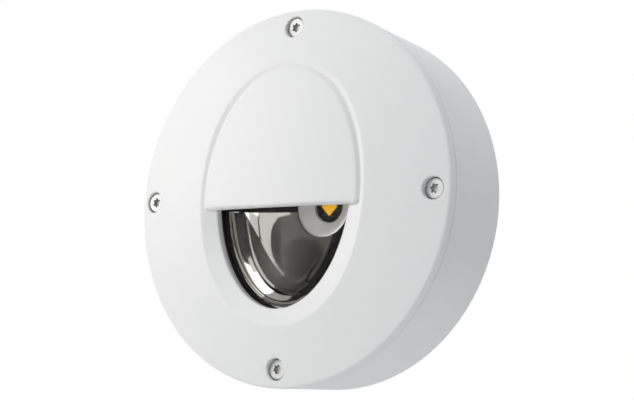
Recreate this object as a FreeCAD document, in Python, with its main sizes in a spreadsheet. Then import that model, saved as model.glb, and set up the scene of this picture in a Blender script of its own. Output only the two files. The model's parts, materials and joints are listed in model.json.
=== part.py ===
import FreeCAD, Part
import math
import os

import Sketcher

# Round wall light: a domed cover with a hood over its window closes a round housing on the wall.
# Millimetres. The origin is the centre of the back face. X runs right, Z up and -Y out of the wall.
# A depth is a distance out from the wall.

SIZES = {
    # Outer shell
    "disc_radius": 85.0,
    "apex_depth": 51.4,
    "dome_rise": 8.327,
    "rim_height": 3.673,
    "cover_edge_round": 1.5,
    "parting_gap": 0.3,
    "side_taper": 1.3,
    "rim_step": 0.2,
    "cover_wall": 3.0,
    "side_wall": 3.5,
    "back_wall": 3.0,
    "back_edge_round": 0.8,
    # Joint of the cover and the housing
    "spigot_clearance": 0.4,
    "spigot_wall": 1.9,
    "spigot_length": 3.0,
    "cover_seal_inset": 0.7,
    "cover_seal_width": 2.0,
    "cover_seal_thickness": 1.5,
    "seal_gap": 0.1,
    # Cover screws
    "screw_inset": 4.6,
    "screw_radius": 2.5,
    "screw_length": 12.0,
    "screw_head_radius": 4.6,
    "screw_head_height": 2.5,
    "screw_head_round": 0.5,
    "screw_head_sink": 1.4,
    "screw_head_gap": 0.25,
    "star_radius": 2.2,
    "star_notch_radius": 0.62,
    "star_depth": 1.5,
    "washer_radius": 4.5,
    "washer_thickness": 0.7,
    "recess_clearance": 0.4,
    "thread_clearance": 0.05,
    "hole_clearance": 0.3,
    "cover_boss_radius": 6.5,
    "cover_boss_gap": 0.3,
    "boss_drop": 1.0,
    "housing_boss_radius": 5.0,
    "thread_depth": 14.0,
    # Oval dish, window opening and hood
    "dish_side_margin": 40.2,
    "dish_end_margin": 25.8,
    "dish_rise": 1.0,
    "dish_flank_width": 8.0,
    "dish_flank_height": 5.7,
    "opening_rise": 3.1,
    "dish_end_drop": 0.395,
    "lip_thickness": 3.0,
    "hood_side_inset": 1.8,
    "hood_end_inset": 0.6,
    "hood_drop": 5.7,
    "hood_corner_radius": 3.0,
    "hood_edge_round": 1.2,
    "hood_bevel": 1.5,
    "hood_bevel_angle": 30.0,
    # Window and what clamps it
    "window_seal_thickness": 3.5,
    "window_seal_inset": 0.4,
    "window_seal_margin": 3.8,
    "glass_thickness": 2.5,
    "glass_margin": 2.4,
    "glass_clearance": 0.1,
    "pocket_clearance": 0.2,
    "pocket_wall": 2.5,
    "retainer_thickness": 1.2,
    "retainer_inset": 1.6,
    "retainer_lug_radius": 4.2,
    "retainer_screw_out": 12.18,
    "retainer_screw_angle": 32.1,
    "retainer_boss_radius": 3.4,
    "retainer_hole_depth": 4.5,
    # Reflector and the dark shroud above it
    "optic_gap": 0.3,
    "bowl_inset": 1.2,
    "bowl_stand": 9.2,
    "trough_stand": 3.6,
    "trough_widening": 0.2,
    "trough_stretch": 14.3,
    "trough_end_inset": 2.6,
    "trough_shift": 1.2,
    "optic_wall": 1.2,
    "mirror_top_drop": 5.5,
    "mirror_top_lift": 2.7,
    "shroud_roof_gap": 1.0,
    "ear_thickness": 1.5,
    "ear_half_height": 4.0,
    "post_length": 8.4,
    "post_inset": 5.1,
    "lower_post_drop": 16.0,
    "upper_post_rise": 11.0,
    "post_radius": 2.9,
    # Small screws
    "small_screw_radius": 1.5,
    "small_head_radius": 2.6,
    "small_head_height": 1.7,
    "small_screw_length": 5.0,
    "slot_width": 0.8,
    "slot_depth": 0.8,
    # Light source
    "holder_radius": 14.7,
    "holder_height": 5.3,
    "holder_rim": 0.8,
    "holder_web": 1.3,
    "window_ring_radius": 7.9,
    "board_half_width": 16.0,
    "board_drop": 17.0,
    "board_rise": 23.5,
    "board_thickness": 1.6,
    "pad_thickness": 0.5,
    "carrier_radius": 7.4,
    "carrier_thickness": 0.5,
    "emitter_side": 6.1,
    "emitter_thickness": 0.4,
    "lens_cavity_radius": 5.2,
    "lens_foot": 0.8,
    "lens_height": 2.6,
    "holder_screw_side": 11.2,
    "holder_screw_bite": 2.2,
    "solder_pad_side": 5.0,
    "solder_pad_inset": 2.5,
    "solder_pad_radius": 1.5,
    "solder_pad_height": 0.3,
    # Gear tray
    "tray_depth": 5.6,
    "tray_thickness": 2.0,
    "tray_side_margin": 3.5,
    "tray_drop": 31.0,
    "tray_shoulder": 16.0,
    "tray_wing_margin": 3.0,
    "tray_wing_rise": 44.0,
    "tray_rise": 55.0,
    "tray_corner": 14.0,
    "tray_post_radius": 4.0,
    "tray_screw_margin": 5.0,
    "tray_screw_drop": 27.0,
    "tray_screw_wing_inset": 7.0,
    "tray_screw_top_rise": 20.5,
    # Driver
    "driver_left": 37.0,
    "driver_length": 58.0,
    "driver_bottom": 27.0,
    "driver_height": 25.0,
    "driver_thickness": 22.0,
    "driver_wall": 1.5,
    "driver_ear": 6.0,
    "driver_ear_width": 7.2,
    "driver_ear_thickness": 2.0,
    "driver_board_thickness": 1.6,
    "driver_board_gap": 0.4,
    "driver_board_stand": 2.5,
    "coil_length": 14.0,
    "coil_height": 12.0,
    "capacitor_radius": 4.0,
    "capacitor_length": 15.0,
    # Terminal block
    "terminal_gap": 7.5,
    "terminal_width": 22.5,
    "terminal_bottom": 28.0,
    "terminal_height": 15.0,
    "terminal_thickness": 15.0,
    "terminal_pitch": 7.0,
    "entry_radius": 1.7,
    "entry_length": 6.0,
    "entry_depth": 7.5,
    "button_width": 4.0,
    "button_height": 5.0,
    "button_length": 5.5,
    "button_proud": 2.2,
    "button_clearance": 0.2,
    "button_travel": 1.5,
    "clamp_width": 4.6,
    "clamp_height": 6.0,
    "clamp_thickness": 0.5,
    "clamp_length": 5.0,
    # Earth terminal
    "earth_side": 48.0,
    "earth_drop": 36.0,
    "earth_post_radius": 4.5,
    "earth_post_height": 5.0,
    "earth_lug_radius": 4.2,
    "earth_lug_thickness": 0.8,
    "earth_barrel_radius": 1.6,
    "earth_barrel_length": 6.0,
    "earth_screw_radius": 2.0,
    "earth_head_radius": 3.6,
    "earth_head_height": 2.4,
    "earth_screw_length": 5.0,
    # Holes through the back
    "fixing_margin": 23.0,
    "fixing_hole_radius": 2.75,
    "entry_margin": 12.0,
    "entry_drop": 9.0,
    "grommet_neck_radius": 9.0,
    "grommet_lip_radius": 11.5,
    "grommet_lip": 1.0,
    "grommet_sink": 0.2,
    "grommet_nozzle": 3.5,
    "grommet_nozzle_radius": 6.0,
    "cable_radius": 4.0,
    # Leads
    "lead_radius": 0.9,
    "lead_lift": 0.1,
    # Cutting tools run past the faces they cut, and edges are found by where their ends lie
    "overrun": 5.0,
    "match_margin": 0.01,
}

# How many fixing holes and cover screws there are, and the points of the screws' star
QUARTERS = 4
STAR_POINTS = 6
POLES = 3

# The radius of a lead's bend as a share of the shorter run beside it
BEND_SHARE = 0.45

FRONT = FreeCAD.Rotation(FreeCAD.Vector(1, 0, 0), 90)

doc = FreeCAD.newDocument("wall_light")
sheet = doc.addObject("Spreadsheet::Sheet", "sizes")
rows_used = 0


def write_row(name, content):
    """One row of the sheet: a name beside a number or a formula."""
    global rows_used
    rows_used += 1
    cell = f"B{rows_used}"
    sheet.set(f"A{rows_used}", name)
    sheet.set(cell, content)
    return cell


for size_name, size_value in SIZES.items():
    sheet.setAlias(write_row(size_name, str(size_value)), size_name)
sheet.recompute()


def name_size(name, formula):
    """A size that follows from others, with a name of its own in the sheet."""
    sheet.setAlias(write_row(name, "=" + formula), name)
    sheet.recompute()


known_formulas = {}


def cell_of(formula):
    """The sheet's cell that holds a formula."""
    if formula not in known_formulas:
        known_formulas[formula] = write_row("formula", "=" + formula)
        sheet.recompute()
    return known_formulas[formula]


def value(formula):
    """What a formula of sheet names comes to now."""
    return float(sheet.get(cell_of(formula)))


def bind(item, path, formula):
    """Tie a property to a formula in the sheet."""
    item.setExpression(path, "sizes." + cell_of(formula))


def dome_at(radius):
    """The depth of the dome's surface at a distance from the middle."""
    return f"(apex_depth - dome_radius + sqrt(dome_radius^2 - ({radius})^2))"


# Sizes that follow from the driving ones
name_size("dome_radius", "(disc_radius^2 + dome_rise^2) / (2 * dome_rise)")
name_size("parting_depth", "apex_depth - dome_rise - rim_height")
name_size("housing_depth", "parting_depth - parting_gap")
name_size("housing_radius", "disc_radius - rim_step")
name_size("back_radius", "housing_radius - side_taper")
name_size("housing_bore", "housing_radius - side_wall")
name_size("cover_seal_inner_radius", "housing_bore + cover_seal_inset")
name_size("screw_circle_radius", "housing_bore - screw_inset")
name_size("spigot_radius", "housing_bore - spigot_clearance")
name_size("spigot_bore", "spigot_radius - spigot_wall")
name_size("seal_depth", "housing_depth + seal_gap")
name_size("seal_roof", "seal_depth + cover_seal_thickness")
name_size("head_top", dome_at("screw_circle_radius") + " - screw_head_sink")
name_size("head_seat", "head_top - screw_head_height")
name_size("recess_floor", "head_seat - washer_thickness")
name_size("recess_radius", "screw_head_radius + screw_head_gap")
name_size("boss_top", "housing_depth - boss_drop")
name_size("cover_boss_end", "boss_top + cover_boss_gap")
name_size("oval_half_width", "disc_radius - dish_side_margin")
name_size("oval_half_height", "disc_radius - dish_end_margin")
name_size("opening_half_width", "oval_half_width - dish_flank_width")
name_size("opening_half_height", "oval_half_height - dish_flank_height")
name_size("hood_half_width", "oval_half_width - hood_side_inset")
name_size("hood_half_height", "oval_half_height + dish_rise - hood_end_inset")
name_size("retainer_screw_side", "(opening_half_width + retainer_screw_out) * cos(retainer_screw_angle)")
name_size("retainer_screw_rise", "(opening_half_height + retainer_screw_out) * sin(retainer_screw_angle)")
name_size("opening_depth", dome_at("oval_half_height") + " - dish_end_drop")
name_size("seat_depth", "opening_depth - lip_thickness")
name_size("seal_back", "seat_depth - window_seal_thickness")
name_size("seal_lip", "(window_seal_thickness - glass_thickness) / 2")
name_size("glass_back", "seal_back + seal_lip")
name_size("retainer_back", "seal_back - retainer_thickness")
name_size("rim_depth", "seal_back - optic_gap")
name_size("bowl_half_width", "opening_half_width - bowl_inset")
name_size("bowl_half_height", "opening_half_height - bowl_inset")
name_size("tray_front", "tray_depth + tray_thickness")
name_size("pad_front", "tray_front + pad_thickness")
name_size("board_front", "pad_front + board_thickness")
name_size("carrier_front", "board_front + carrier_thickness")
name_size("holder_depth", "board_front + holder_height")
name_size("holder_hole", "holder_radius + optic_gap")
name_size("shroud_roof_rise", "holder_hole + shroud_roof_gap")
name_size("bowl_depth", "rim_depth - tray_front - bowl_stand")
name_size("trough_depth", "rim_depth - tray_front - trough_stand")
name_size("trough_half_width", "bowl_half_width + trough_widening")
name_size("trough_half_height", "bowl_half_height + trough_stretch")
name_size("trough_rise", "opening_rise + trough_stretch + trough_end_inset")
name_size("ear_depth", "tray_front + post_length")
name_size("post_side", "bowl_half_width - post_inset")
name_size("tray_half_width", "post_side + tray_side_margin")
name_size("tray_screw_side", "tray_half_width - tray_screw_margin")
name_size("terminal_left", "driver_length - driver_left + terminal_gap")
name_size("tray_wing", "terminal_left + terminal_width + tray_wing_margin")
name_size("tray_screw_top_side", "tray_wing - tray_screw_wing_inset")
name_size("fixing_circle_radius", "disc_radius - fixing_margin")
name_size("entry_side", "tray_half_width + entry_margin")


def new(kind, name):
    return doc.addObject(kind, name)


def face_front(item, side="0", depth="0", rise="0"):
    """Turn a piece so that its own axis runs out of the wall, and place it."""
    item.Placement = FreeCAD.Placement(FreeCAD.Vector(), FRONT)
    bind(item, "Placement.Base.x", side)
    bind(item, "Placement.Base.y", f"-({depth})")
    bind(item, "Placement.Base.z", rise)
    return item


def rod(radius, depth, length, side="0", rise="0"):
    """A cylinder that starts at a depth and runs out of the wall."""
    item = new("Part::Cylinder", "rod")
    bind(item, "Radius", radius)
    bind(item, "Height", length)
    return face_front(item, side, depth, rise)


def block(width, height, depth, thickness, left, bottom):
    """A box given by its left and bottom edges and the depth of its back."""
    item = new("Part::Box", "block")
    bind(item, "Length", width)
    bind(item, "Width", height)
    bind(item, "Height", thickness)
    return face_front(item, left, depth, bottom)


def middle_block(width, height, depth, thickness, side="0", rise="0"):
    """A box given by its middle and the depth of its back."""
    return block(width, height, depth, thickness, f"{side} - ({width}) / 2", f"{rise} - ({height}) / 2")


def ball(radius, depth):
    """A sphere about a point on the light's axis."""
    item = new("Part::Sphere", "ball")
    bind(item, "Radius", radius)
    return face_front(item, "0", depth, "0")


def egg(half_width, half_height, half_depth, side, rise):
    """An ellipsoid about a point in the reflector's front plane."""
    item = new("Part::Ellipsoid", "egg")
    bind(item, "Radius1", half_depth)
    bind(item, "Radius2", half_width)
    bind(item, "Radius3", half_height)
    return face_front(item, side, "rim_depth", rise)


def standing_oval(half_width, half_height, depth, rise, seam=90):
    """The outline of an upright oval that faces out of the wall, with its seam at the top or the bottom."""
    outline = new("Part::Ellipse", "outline")
    bind(outline, "MajorRadius", half_height)
    bind(outline, "MinorRadius", half_width)
    face_front(outline, "0", depth, rise)
    outline.Placement.Rotation = FRONT.multiply(FreeCAD.Rotation(FreeCAD.Vector(0, 0, 1), seam))
    return outline


def oval(half_width, half_height, depth, length, rise="opening_rise", seam=90):
    """A bar with an upright oval section that runs out of the wall."""
    item = new("Part::Extrusion", "oval")
    item.Base = standing_oval(half_width, half_height, depth, rise, seam)
    item.DirMode = "Custom"
    item.Dir = FreeCAD.Vector(0, -1, 0)
    item.Solid = True
    bind(item, "LengthFwd", length)
    return item


def fuse(*items):
    joined = new("Part::MultiFuse", "joined")
    joined.Shapes = list(items)
    joined.Refine = True
    return joined


def cut(base, *tools):
    """One solid with others taken out of it."""
    result = new("Part::Cut", "cut")
    result.Base = base
    result.Tool = tools[0] if len(tools) == 1 else fuse(*tools)
    result.Refine = True
    return result


def common(*items):
    shared = new("Part::MultiCommon", "shared")
    shared.Shapes = list(items)
    shared.Refine = True
    return shared


def group(items):
    """Separate solids that share a node."""
    together = new("Part::Compound", "group")
    together.Links = list(items)
    return together


def round_edges(item, radius, wanted):
    """Round the edges of a solid that a test picks out."""
    doc.recompute([item])
    picked = [i for i, edge in enumerate(item.Shape.Edges, 1) if wanted(edge)]
    rounded = new("Part::Fillet", "rounded")
    rounded.Base = item
    rounded.Edges = [(i, value(radius), value(radius)) for i in picked]
    return rounded


subparts = []
pockets = []


def keep(item, label):
    """Make an object one of the light's named pieces."""
    item.Label = label
    subparts.append(item)
    return item


def circle_points(count, radius, first_turn=0):
    """Places evenly round a circle, as pairs of formulas."""
    points = []
    for i in range(count):
        turn = first_turn + 360 * i / count
        points.append((f"({radius}) * cos({turn})", f"({radius}) * sin({turn})"))
    return points


# Bodies made from sketches


def new_body(label, kept=True):
    body = new("PartDesign::Body", label + "_body")
    return keep(body, label) if kept else body


def origin_plane(body, role):
    return next(plane for plane in body.Origin.OriginFeatures if plane.Role == role)


def new_sketch(body, role, depth="0"):
    """A sketch on one of the body's own planes, moved along the plane's normal."""
    sketch = body.newObject("Sketcher::SketchObject", "sketch")
    sketch.AttachmentSupport = (origin_plane(body, role), [""])
    sketch.MapMode = "FlatFace"
    bind(sketch, "AttachmentOffset.Base.z", depth)
    return sketch


def hold(sketch, geometry, point, across, up):
    """Tie a point of a sketch to two formulas."""
    for kind, axis, formula in (("DistanceX", -2, across), ("DistanceY", -1, up)):
        amount = value(formula)
        if formula == "0":
            sketch.addConstraint(Sketcher.Constraint("PointOnObject", geometry, point, axis))
        else:
            number = sketch.addConstraint(Sketcher.Constraint(kind, -1, 1, geometry, point, amount))
            bind(sketch, f"Constraints[{number}]", formula)


def arc_middle(start, end, radius, bulge):
    """The middle of an arc between two points, bulging to the left (1) or the right (-1)."""
    chord = end - start
    height = radius - math.sqrt(radius**2 - chord.Length**2 / 4)
    left = FreeCAD.Vector(-chord.y, chord.x, 0).normalize()
    return (start + end) * 0.5 + left * height * bulge


def draw_outline(sketch, corners, arcs=()):
    """A closed outline through corners given as pairs of formulas. Some of its sides are arcs."""
    places = [FreeCAD.Vector(value(across), value(up), 0) for across, up in corners]
    bends = dict(arcs)
    sides = []
    for i, start in enumerate(places):
        end = places[(i + 1) % len(places)]
        if i in bends:
            radius, bulge = bends[i]
            curve = Part.Arc(start, arc_middle(start, end, value(radius), bulge), end)
        else:
            curve = Part.LineSegment(start, end)
        number = sketch.addGeometry(curve, False)
        backwards = sketch.getPoint(number, 1).distanceToPoint(start) > (end - start).Length / 2
        sides.append((number, 2, 1) if backwards else (number, 1, 2))
    for i, (number, first, last) in enumerate(sides):
        following = sides[(i + 1) % len(sides)]
        joint = Sketcher.Constraint("Coincident", number, last, following[0], following[1])
        sketch.addConstraint(joint)
    for (number, first, last), (across, up) in zip(sides, corners):
        hold(sketch, number, first, across, up)
    for i, (radius, bulge) in bends.items():
        held = sketch.addConstraint(Sketcher.Constraint("Radius", sides[i][0], value(radius)))
        bind(sketch, f"Constraints[{held}]", radius)


def draw_circle(sketch, radius, across="0", up="0"):
    place = FreeCAD.Vector(value(across), value(up), 0)
    normal = FreeCAD.Vector(0, 0, 1)
    number = sketch.addGeometry(Part.Circle(place, normal, value(radius)), False)
    hold(sketch, number, 3, across, up)
    held = sketch.addConstraint(Sketcher.Constraint("Radius", number, value(radius)))
    bind(sketch, f"Constraints[{held}]", radius)


def add_pad(body, sketch, length):
    """Material from a sketch on the upright plane outwards."""
    pad = body.newObject("PartDesign::Pad", "pad")
    pad.Profile = sketch
    bind(pad, "Length", length)
    sketch.Visibility = False
    return pad


def add_pocket(body, sketch, length):
    """A pocket from a sketch on the upright plane back towards the wall."""
    before = body.Tip
    pocket = body.newObject("PartDesign::Pocket", "pocket")
    pocket.Profile = sketch
    bind(pocket, "Length", length)
    pockets.append((before, pocket))
    return pocket


def turned_body(label, profile, side="0", rise="0", arcs=(), kept=True):
    """A body turned about its own axis: the profile is pairs of a radius and a depth."""
    body = new_body(label, kept)
    sketch = new_sketch(body, "XY_Plane")
    draw_outline(sketch, [(radius, f"-({depth})") for radius, depth in profile], arcs)
    turned = body.newObject("PartDesign::Revolution", "turned")
    turned.Profile = sketch
    turned.ReferenceAxis = (sketch, ["V_Axis"])
    turned.Angle = 360
    bind(body, "Placement.Base.x", side)
    bind(body, "Placement.Base.z", rise)
    return body


def padded_body(label, draw, depth, thickness):
    """A flat body: a function draws its outline, which is padded outwards from a depth."""
    body = new_body(label)
    sketch = new_sketch(body, "XZ_Plane", depth)
    draw(sketch)
    add_pad(body, sketch, thickness)
    return body


def drill(body, radius, places, top, length):
    """Round holes from a depth back towards the wall."""
    sketch = new_sketch(body, "XZ_Plane", top)
    for side, rise in places:
        draw_circle(sketch, radius, side, rise)
    return add_pocket(body, sketch, length)


# Places that several pieces share

COVER_SCREWS = {
    "right": ("screw_circle_radius", "0"),
    "top": ("0", "screw_circle_radius"),
    "left": ("-screw_circle_radius", "0"),
    "bottom": ("0", "-screw_circle_radius"),
}
# How far each tightened screw has turned its star, in degrees
STAR_TURNS = {"right": -11, "top": 30, "left": 30, "bottom": 13}
TRAY_SCREWS = [
    ("tray_screw_side", "-tray_screw_drop"),
    ("-tray_screw_side", "-tray_screw_drop"),
    ("tray_screw_top_side", "tray_screw_top_rise"),
    ("-tray_screw_top_side", "tray_screw_top_rise"),
]
LOWER_POSTS = [("post_side", "-lower_post_drop"), ("-post_side", "-lower_post_drop")]
UPPER_POSTS = [("post_side", "upper_post_rise"), ("-post_side", "upper_post_rise")]
HOLDER_SCREWS = [("holder_screw_side", "0"), ("-holder_screw_side", "0")]
RETAINER_SCREWS = [
    (side, rise)
    for side in ("retainer_screw_side", "-retainer_screw_side")
    for rise in ("opening_rise + retainer_screw_rise", "opening_rise - retainer_screw_rise")
]
EARTH = ("earth_side", "-earth_drop")
ENTRY = ("entry_side", "-entry_drop")
DRIVER_RIGHT = "(driver_length - driver_left)"
DRIVER_MIDDLE = "(driver_bottom + driver_height / 2)"
DRIVER_SCREWS = [
    ("-driver_left - driver_ear / 2", DRIVER_MIDDLE),
    (DRIVER_RIGHT + " + driver_ear / 2", "driver_bottom - driver_ear / 2"),
]


# Housing


def make_housing():
    """A cup turned with a slight taper, with bosses and posts inside and holes through its back."""
    body = turned_body(
        "rear_housing",
        [
            ("0", "0"),
            ("back_radius - back_edge_round", "0"),
            ("back_radius", "back_edge_round"),
            ("housing_radius", "housing_depth"),
            ("housing_bore", "housing_depth"),
            ("back_radius - side_wall", "back_wall"),
            ("0", "back_wall"),
        ],
    )
    bosses = new_sketch(body, "XZ_Plane", "back_wall / 2")
    for side, rise in COVER_SCREWS.values():
        draw_circle(bosses, "housing_boss_radius", side, rise)
    add_pad(body, bosses, "boss_top - back_wall / 2")
    posts = new_sketch(body, "XZ_Plane", "back_wall / 2")
    for side, rise in TRAY_SCREWS:
        draw_circle(posts, "tray_post_radius", side, rise)
    add_pad(body, posts, "tray_depth - back_wall / 2")
    earth = new_sketch(body, "XZ_Plane", "back_wall / 2")
    draw_circle(earth, "earth_post_radius", *EARTH)
    add_pad(body, earth, "back_wall / 2 + earth_post_height")
    threads = "screw_radius + thread_clearance"
    drill(body, threads, COVER_SCREWS.values(), "boss_top", "thread_depth")
    small = "small_screw_radius + thread_clearance"
    drill(body, small, TRAY_SCREWS, "tray_depth", "tray_depth - back_wall / 2")
    earth_hole = "earth_screw_radius + thread_clearance"
    drill(body, earth_hole, [EARTH], "back_wall + earth_post_height", "earth_screw_length")
    fixing = circle_points(QUARTERS, "fixing_circle_radius")
    drill(body, "fixing_hole_radius", fixing, "back_wall", "back_wall")
    drill(body, "grommet_neck_radius", [ENTRY], "back_wall", "back_wall")
    lip = "grommet_lip_radius + recess_clearance"
    drill(body, lip, [ENTRY], "grommet_sink + grommet_lip", "grommet_sink + grommet_lip")


def make_grommet():
    """A rubber grommet that grips the edge of the cable hole, with a nozzle for the cable."""
    lip_front = "grommet_sink + grommet_lip"
    flange = "back_wall + grommet_lip"
    turned_body(
        "cable_grommet",
        [
            ("cable_radius", "grommet_sink"),
            ("grommet_lip_radius", "grommet_sink"),
            ("grommet_lip_radius", lip_front),
            ("grommet_neck_radius", lip_front),
            ("grommet_neck_radius", "back_wall"),
            ("grommet_lip_radius", "back_wall"),
            ("grommet_lip_radius", flange),
            ("grommet_nozzle_radius + grommet_lip", flange),
            ("grommet_nozzle_radius", f"{flange} + grommet_nozzle"),
            ("cable_radius", f"{flange} + grommet_nozzle"),
        ],
        *ENTRY,
    )


# Cover


def dome_solid(inset="0"):
    """The ball whose cap is the dome, or the ball inside the wall."""
    return ball(f"dome_radius - ({inset})", "apex_depth - dome_radius")


def make_dish_cutter():
    """A funnel whose flank runs from the oval on the dome down to the edge of the opening."""
    top = "(oval_half_height + dish_rise)"
    low = "(oval_half_height - dish_rise)"
    side_slope = f"(dish_flank_width / ({dome_at('oval_half_width')} - opening_depth))"
    top_slope = f"(({top} - opening_half_height - opening_rise) / ({dome_at(top)} - opening_depth))"
    low_slope = f"(({low} - opening_half_height + opening_rise) / ({dome_at(low)} - opening_depth))"
    outlines = []
    for lift in ("(-lip_thickness / 4)", "(apex_depth - opening_depth + lip_thickness / 4)"):
        outlines.append(
            standing_oval(
                f"opening_half_width + {side_slope} * {lift}",
                f"opening_half_height + ({top_slope} + {low_slope}) / 2 * {lift}",
                f"opening_depth + {lift}",
                f"opening_rise + ({top_slope} - {low_slope}) / 2 * {lift}",
            )
        )
    return ruled_loft(outlines)


def ruled_loft(outlines):
    """A solid with straight flanks between two outlines."""
    loft = new("Part::Loft", "loft")
    loft.Sections = outlines
    loft.Solid = True
    loft.Ruled = True
    return loft


def make_hood_bevel():
    """A cone round the hood that takes off its edge at an even width all the way round."""
    outlines = []
    for depth in ("seat_depth", "apex_depth"):
        side_drop = f"({dome_at('hood_half_width')} - {depth}) / tan(hood_bevel_angle)"
        end_drop = f"({dome_at('hood_half_height')} - {depth}) / tan(hood_bevel_angle)"
        outlines.append(
            standing_oval(
                f"hood_half_width - hood_bevel + {side_drop}",
                f"hood_half_height - hood_bevel + {end_drop} * hood_half_height / hood_half_width",
                depth,
                "0",
                seam=270,
            )
        )
    return ruled_loft(outlines)


def make_hood():
    """The hood: the dome carried on over the opening, above a straight lower edge that is rounded."""
    length = "apex_depth + overrun - seat_depth"
    cap = oval("hood_half_width", "hood_half_height", "seat_depth", length, "0", seam=270)
    side = "2 * disc_radius"
    slab = common(cap, block(side, side, "seat_depth", length, "-disc_radius", "-hood_drop"))
    low = -value("hood_drop")
    margin = value("match_margin")

    def is_corner(edge):
        ends = edge.Vertexes
        if len(ends) != 2 or abs(ends[0].Z - low) > margin:
            return False
        return abs(ends[0].X - ends[1].X) + abs(ends[0].Z - ends[1].Z) < margin

    cornered = round_edges(slab, "hood_corner_radius", is_corner)
    return common(cornered, make_hood_front(), make_hood_bevel())


def make_hood_front():
    """The dome's skin from the hood's lower edge up, turned about the upright line through its middle."""
    body = new_body("hood_front", False)
    sketch = new_sketch(body, "YZ_Plane")
    inner = "(dome_radius - hood_edge_round)"
    level = "(hood_drop - hood_edge_round)"
    bend = f"sqrt({inner}^2 - {level}^2)"
    top = "(hood_half_height + overrun)"
    back = "(dome_radius - apex_depth + seat_depth - overrun)"
    corners = [
        (f"-{back}", "-hood_drop"),
        (f"-{bend}", "-hood_drop"),
        (f"-{bend} * dome_radius / {inner}", f"-{level} * dome_radius / {inner}"),
        (f"-sqrt(dome_radius^2 - {top}^2)", top),
        (f"-{back}", top),
    ]
    draw_outline(sketch, corners, {1: ("hood_edge_round", 1), 2: ("dome_radius", 1)})
    turned = body.newObject("PartDesign::Revolution", "turned")
    turned.Profile = sketch
    turned.ReferenceAxis = (sketch, ["V_Axis"])
    turned.Midplane = True
    bind(turned, "Angle", "4 * atan(hood_half_width / dome_radius)")
    bind(body, "Placement.Base.y", "dome_radius - apex_depth")
    return body


def make_cover_shell():
    """The domed disc in one turned piece, with the seal's groove and the rim inside the housing."""
    middle = "(apex_depth - dome_radius)"
    inset = "(disc_radius - cover_edge_round)"
    inner = "(dome_radius - cover_edge_round)"
    level = f"sqrt({inner}^2 - {inset}^2)"
    groove_outer = "cover_seal_inner_radius + cover_seal_width + seal_gap"
    groove_inner = "cover_seal_inner_radius - seal_gap"
    spigot_end = "parting_depth - spigot_length"
    hollow = "(dome_radius - cover_wall)"
    profile = [
        ("0", "apex_depth"),
        (f"{inset} * dome_radius / {inner}", f"{middle} + {level} * dome_radius / {inner}"),
        ("disc_radius", f"{middle} + {level}"),
        ("disc_radius", "parting_depth"),
        (groove_outer, "parting_depth"),
        (groove_outer, "seal_roof"),
        (groove_inner, "seal_roof"),
        (groove_inner, "parting_depth"),
        ("spigot_radius", "parting_depth"),
        ("spigot_radius", spigot_end),
        ("spigot_bore", spigot_end),
        ("spigot_bore", f"{middle} + sqrt({hollow}^2 - spigot_bore^2)"),
        ("0", "apex_depth - cover_wall"),
    ]
    arcs = {0: ("dome_radius", -1), 1: ("cover_edge_round", -1), 11: (hollow, 1)}
    return turned_body("cover_shell", profile, arcs=arcs, kept=False)


def make_front_cover():
    """The domed disc with its dish, window opening and hood, and the ribs and bosses behind."""
    screws = COVER_SCREWS.values()
    notches = [
        rod("cover_boss_radius + spigot_clearance", "parting_depth - spigot_length - overrun",
            "spigot_length + overrun", side, rise)
        for side, rise in screws
    ]
    shell = cut(make_cover_shell(), *notches)
    boss_length = "cover_wall + head_top - cover_boss_end"
    bosses = common(
        fuse(*[rod("cover_boss_radius", "cover_boss_end", boss_length, side, rise) for side, rise in screws]),
        rod("spigot_radius", "cover_boss_end", boss_length),
        dome_solid("cover_wall / 2"),
    )
    margin = "window_seal_margin + pocket_clearance"
    frame = oval(
        f"opening_half_width + {margin} + pocket_wall",
        f"opening_half_height + {margin} + pocket_wall",
        "seal_back + pocket_clearance",
        "apex_depth",
    )
    clamp_bosses = [
        rod("retainer_boss_radius", "seal_back", "apex_depth - seal_back", side, rise)
        for side, rise in RETAINER_SCREWS
    ]
    backing = common(fuse(frame, *clamp_bosses), dome_solid("cover_wall / 2"))
    through = oval("opening_half_width", "opening_half_height", "seal_back", "apex_depth")
    dished = cut(fuse(shell, bosses, backing), make_dish_cutter(), through)
    hooded = fuse(dished, make_hood())
    pocket = oval(
        f"opening_half_width + {margin}",
        f"opening_half_height + {margin}",
        "seal_back - overrun",
        "seat_depth - seal_back + overrun",
    )
    behind_hood = common(
        oval("opening_half_width", "opening_half_height", "seal_back", "apex_depth"),
        dome_solid("cover_wall"),
    )
    tools = [pocket, behind_hood]
    for side, rise in screws:
        tools.append(rod("recess_radius", "recess_floor", "apex_depth - recess_floor", side, rise))
        tools.append(
            rod("screw_radius + hole_clearance", "cover_boss_end - overrun", "apex_depth", side, rise)
        )
    for side, rise in RETAINER_SCREWS:
        tools.append(
            rod("small_screw_radius + thread_clearance", "seal_back - overrun",
                "retainer_hole_depth + overrun", side, rise)
        )
    keep(cut(hooded, *tools), "front_cover")


def make_cover_seal():
    """The flat ring in the cover's groove, which sits on the housing's rim."""
    outer = "cover_seal_inner_radius + cover_seal_width"
    turned_body(
        "cover_seal",
        [
            ("cover_seal_inner_radius", "seal_depth"),
            (outer, "seal_depth"),
            (outer, "seal_roof"),
            ("cover_seal_inner_radius", "seal_roof"),
        ],
    )


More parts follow.
